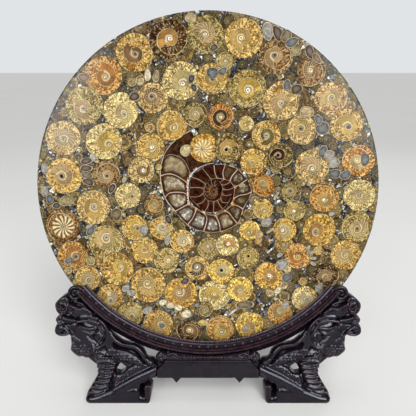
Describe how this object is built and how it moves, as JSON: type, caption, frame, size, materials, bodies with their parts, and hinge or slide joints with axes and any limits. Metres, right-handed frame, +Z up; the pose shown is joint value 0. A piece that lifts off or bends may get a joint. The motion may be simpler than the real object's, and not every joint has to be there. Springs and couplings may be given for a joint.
{
  "type": "polished ammonite fossil plate on a carved stand",
  "caption": "Round polished slab of matrix with cut ammonites set in its face, leaning back in a dark carved arc cradle with dragon brackets and rear legs.",
  "frame": {"origin": "on the surface it stands on, under the middle of the object's box", "axes": "+Z up, -Y towards the front where the polished face looks, +X to the right as seen from the front"},
  "size_m": [0.3, 0.13, 0.3332],
  "materials": {
    "matrix": "polished shell-hash and resin matrix: olive, slate and gold fragments, plain honed back",
    "golden_fossil": "polished calcite, gold to olive, with cream chamber walls and grey crystal in the middle",
    "dark_fossil": "polished calcite, dark red-brown chambers, cream walls and grey-white crystal",
    "lacquered_wood": "carved wood under glossy near-black lacquer, red-brown where it is thin on the edges"
  },
  "bodies": {
    "root": {"matrix_slab": "matrix", "ammonite_01": "golden_fossil", "ammonite_02": "golden_fossil", "ammonite_03": "golden_fossil", "ammonite_04": "golden_fossil", "ammonite_05": "golden_fossil", "ammonite_06": "golden_fossil", "ammonite_07": "golden_fossil", "ammonite_08": "golden_fossil", "ammonite_09": "golden_fossil", "ammonite_10": "golden_fossil", "ammonite_11": "golden_fossil", "ammonite_12": "golden_fossil", "ammonite_13": "golden_fossil", "ammonite_14": "golden_fossil", "ammonite_15": "golden_fossil", "ammonite_16": "golden_fossil", "ammonite_17": "golden_fossil", "ammonite_18": "golden_fossil", "ammonite_19": "golden_fossil", "ammonite_20": "golden_fossil", "ammonite_21": "golden_fossil", "ammonite_22": "golden_fossil", "ammonite_23": "golden_fossil", "ammonite_24": "golden_fossil", "ammonite_25": "golden_fossil", "ammonite_26": "golden_fossil", "ammonite_27": "golden_fossil", "ammonite_28": "golden_fossil", "ammonite_29": "golden_fossil", "ammonite_30": "golden_fossil", "ammonite_31": "golden_fossil", "ammonite_32": "golden_fossil", "ammonite_33": "golden_fossil", "ammonite_34": "golden_fossil", "ammonite_35": "golden_fossil", "ammonite_36": "golden_fossil", "ammonite_37": "golden_fossil", "ammonite_38": "golden_fossil", "ammonite_39": "golden_fossil", "ammonite_40": "golden_fossil", "ammonite_41": "golden_fossil", "ammonite_42": "golden_fossil", "ammonite_43": "golden_fossil", "ammonite_44": "golden_fossil", "ammonite_45": "golden_fossil", "ammonite_46": "golden_fossil", "ammonite_47": "golden_fossil", "ammonite_48": "golden_fossil", "ammonite_49": "golden_fossil", "ammonite_50": "golden_fossil", "ammonite_centre": "dark_fossil", "cradle_arc": "lacquered_wood", "dragon_left": "lacquered_wood", "dragon_right": "lacquered_wood", "front_rail": "lacquered_wood", "rear_leg_left": "lacquered_wood", "rear_leg_right": "lacquered_wood", "rear_cross_rail": "lacquered_wood"}
  },
  "joints": []
}
